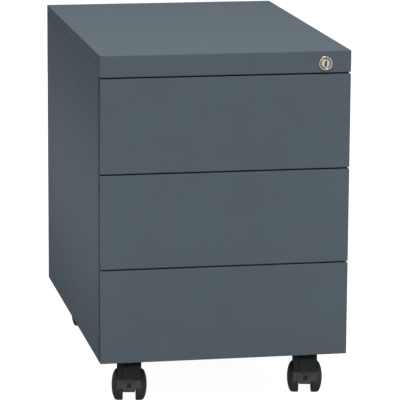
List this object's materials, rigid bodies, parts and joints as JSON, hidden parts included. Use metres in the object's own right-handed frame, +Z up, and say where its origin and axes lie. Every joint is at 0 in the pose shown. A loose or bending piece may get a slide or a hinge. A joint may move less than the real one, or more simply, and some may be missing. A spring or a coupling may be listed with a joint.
{
  "type": "mobile drawer pedestal",
  "caption": "Mobile steel drawer pedestal: box body on twin-wheel castors, handle-less full-overlay drawers with side grips, central cam lock in the top fascia.",
  "frame": {"origin": "on the floor, under the centre of the whole object's footprint", "axes": "+X to the right seen from the front, +Y from the drawer fronts to the back, +Z up out of the top"},
  "size_m": [0.39, 0.5918, 0.5512],
  "materials": {
    "cabinet_paint": "anthracite grey fine-texture powder coat, satin",
    "tray_paint": "anthracite grey powder coat, satin",
    "zinc_steel": "bright zinc plated, satin",
    "lock_nickel": "satin nickel plated",
    "castor_plastic": "black glass-filled nylon, satin",
    "wheel_plastic": "black nylon, satin",
    "guide_plastic": "black acetal",
    "rubber_buffer": "soft matt"
  },
  "bodies": {
    "cabinet": {"side_panel_left": "cabinet_paint", "side_panel_right": "cabinet_paint", "back_panel": "cabinet_paint", "base_panel": "cabinet_paint", "top_cover": "cabinet_paint", "top_front_rail": "zinc_steel", "upright_front_left": "zinc_steel", "upright_front_right": "zinc_steel", "upright_rear_left": "zinc_steel", "upright_rear_right": "zinc_steel", "slide_outers_left": "zinc_steel", "slide_outers_right": "zinc_steel", "slide_screws": "zinc_steel", "castor_rails": "zinc_steel", "castor_plates": "zinc_steel", "castor_stems": "zinc_steel", "castor_screws": "zinc_steel", "front_buffers": "rubber_buffer", "lock_housing": "lock_nickel", "lock_nut": "zinc_steel", "lock_bar_guides": "guide_plastic"},
    "drawer_1": {"drawer_front_1": "cabinet_paint", "front_pan_1": "cabinet_paint", "drawer_tray_1": "tray_paint", "slide_inners_1": "zinc_steel", "lock_catch_1": "zinc_steel"},
    "drawer_2": {"drawer_front_2": "cabinet_paint", "front_pan_2": "cabinet_paint", "drawer_tray_2": "tray_paint", "slide_inners_2": "zinc_steel", "lock_catch_2": "zinc_steel"},
    "drawer_3": {"drawer_front_3": "cabinet_paint", "front_pan_3": "cabinet_paint", "drawer_tray_3": "tray_paint", "slide_inners_3": "zinc_steel", "lock_catch_3": "zinc_steel"},
    "runners_1": {"slide_middles_1": "zinc_steel"},
    "runners_2": {"slide_middles_2": "zinc_steel"},
    "runners_3": {"slide_middles_3": "zinc_steel"},
    "lock_barrel": {"lock_plug": "lock_nickel", "lock_cam": "zinc_steel", "lock_cam_screw": "zinc_steel"},
    "locking_bar": {"lock_bar": "zinc_steel"},
    "castor_front_left": {"castor_hood_front_left": "castor_plastic", "castor_axle_front_left": "zinc_steel"},
    "outer_roller_front_left": {"wheel_outer_front_left": "wheel_plastic"},
    "inner_roller_front_left": {"wheel_inner_front_left": "wheel_plastic"},
    "castor_front_right": {"castor_hood_front_right": "castor_plastic", "castor_axle_front_right": "zinc_steel"},
    "outer_roller_front_right": {"wheel_outer_front_right": "wheel_plastic"},
    "inner_roller_front_right": {"wheel_inner_front_right": "wheel_plastic"},
    "castor_rear_left": {"castor_hood_rear_left": "castor_plastic", "castor_axle_rear_left": "zinc_steel"},
    "outer_roller_rear_left": {"wheel_outer_rear_left": "wheel_plastic"},
    "inner_roller_rear_left": {"wheel_inner_rear_left": "wheel_plastic"},
    "castor_rear_right": {"castor_hood_rear_right": "castor_plastic", "castor_axle_rear_right": "zinc_steel"},
    "outer_roller_rear_right": {"wheel_outer_rear_right": "wheel_plastic"},
    "inner_roller_rear_right": {"wheel_inner_rear_right": "wheel_plastic"}
  },
  "joints": [
    {"name": "drawer_1_slide", "type": "slide", "parent": "cabinet", "child": "drawer_1", "axis": [0, -1, 0], "range_m": [0, 0.45]},
    {"name": "runners_1_slide", "type": "slide", "parent": "cabinet", "child": "runners_1", "axis": [0, -1, 0], "range_m": [0, 0.225]},
    {"name": "drawer_2_slide", "type": "slide", "parent": "cabinet", "child": "drawer_2", "axis": [0, -1, 0], "range_m": [0, 0.45]},
    {"name": "runners_2_slide", "type": "slide", "parent": "cabinet", "child": "runners_2", "axis": [0, -1, 0], "range_m": [0, 0.225]},
    {"name": "drawer_3_slide", "type": "slide", "parent": "cabinet", "child": "drawer_3", "axis": [0, -1, 0], "range_m": [0, 0.45]},
    {"name": "runners_3_slide", "type": "slide", "parent": "cabinet", "child": "runners_3", "axis": [0, -1, 0], "range_m": [0, 0.225]},
    {"name": "lock_turn", "type": "hinge", "parent": "cabinet", "child": "lock_barrel", "pos_m": [0.1545, -0.2941, 0.5317], "axis": [0, 1, 0], "range_deg": [0, 90]},
    {"name": "locking_bar_slide", "type": "slide", "parent": "cabinet", "child": "locking_bar", "axis": [0, 0, -1], "range_m": [0, 0.0113]},
    {"name": "swivel_front_left", "type": "hinge", "parent": "cabinet", "child": "castor_front_left", "pos_m": [-0.1405, -0.2391, 0.06], "axis": [0, 0, 1], "continuous": true},
    {"name": "roll_outer_front_left", "type": "hinge", "parent": "castor_front_left", "child": "outer_roller_front_left", "pos_m": [-0.16002, -0.24565, 0.025], "axis": [0.9833, -0.1822, 0], "continuous": true},
    {"name": "roll_inner_front_left", "type": "hinge", "parent": "castor_front_left", "child": "inner_roller_front_left", "pos_m": [-0.12462, -0.25221, 0.025], "axis": [0.9833, -0.1822, 0], "continuous": true},
    {"name": "swivel_front_right", "type": "hinge", "parent": "cabinet", "child": "castor_front_right", "pos_m": [0.1405, -0.2391, 0.06], "axis": [0, 0, 1], "continuous": true},
    {"name": "roll_outer_front_right", "type": "hinge", "parent": "castor_front_right", "child": "outer_roller_front_right", "pos_m": [0.15638, -0.25221, 0.025], "axis": [0.9833, -0.1822, 0], "continuous": true},
    {"name": "roll_inner_front_right", "type": "hinge", "parent": "castor_front_right", "child": "inner_roller_front_right", "pos_m": [0.12098, -0.24565, 0.025], "axis": [0.9833, -0.1822, 0], "continuous": true},
    {"name": "swivel_rear_left", "type": "hinge", "parent": "cabinet", "child": "castor_rear_left", "pos_m": [-0.1355, 0.2329, 0.06], "axis": [0, 0, 1], "continuous": true},
    {"name": "roll_outer_rear_left", "type": "hinge", "parent": "castor_rear_left", "child": "outer_roller_rear_left", "pos_m": [-0.15502, 0.22635, 0.025], "axis": [0.9833, -0.1822, 0], "continuous": true},
    {"name": "roll_inner_rear_left", "type": "hinge", "parent": "castor_rear_left", "child": "inner_roller_rear_left", "pos_m": [-0.11962, 0.21979, 0.025], "axis": [0.9833, -0.1822, 0], "continuous": true},
    {"name": "swivel_rear_right", "type": "hinge", "parent": "cabinet", "child": "castor_rear_right", "pos_m": [0.1355, 0.2329, 0.06], "axis": [0, 0, 1], "continuous": true},
    {"name": "roll_outer_rear_right", "type": "hinge", "parent": "castor_rear_right", "child": "outer_roller_rear_right", "pos_m": [0.15138, 0.21979, 0.025], "axis": [0.9833, -0.1822, 0], "continuous": true},
    {"name": "roll_inner_rear_right", "type": "hinge", "parent": "castor_rear_right", "child": "inner_roller_rear_right", "pos_m": [0.11598, 0.22635, 0.025], "axis": [0.9833, -0.1822, 0], "continuous": true}
  ],
  "couplings": [
    {"joint": "runners_1_slide", "follows": "drawer_1_slide", "ratio": 0.5},
    {"joint": "runners_2_slide", "follows": "drawer_2_slide", "ratio": 0.5},
    {"joint": "runners_3_slide", "follows": "drawer_3_slide", "ratio": 0.5},
    {"joint": "lock_turn", "follows": "locking_bar_slide", "rad_per_m": 138.89}
  ]
}
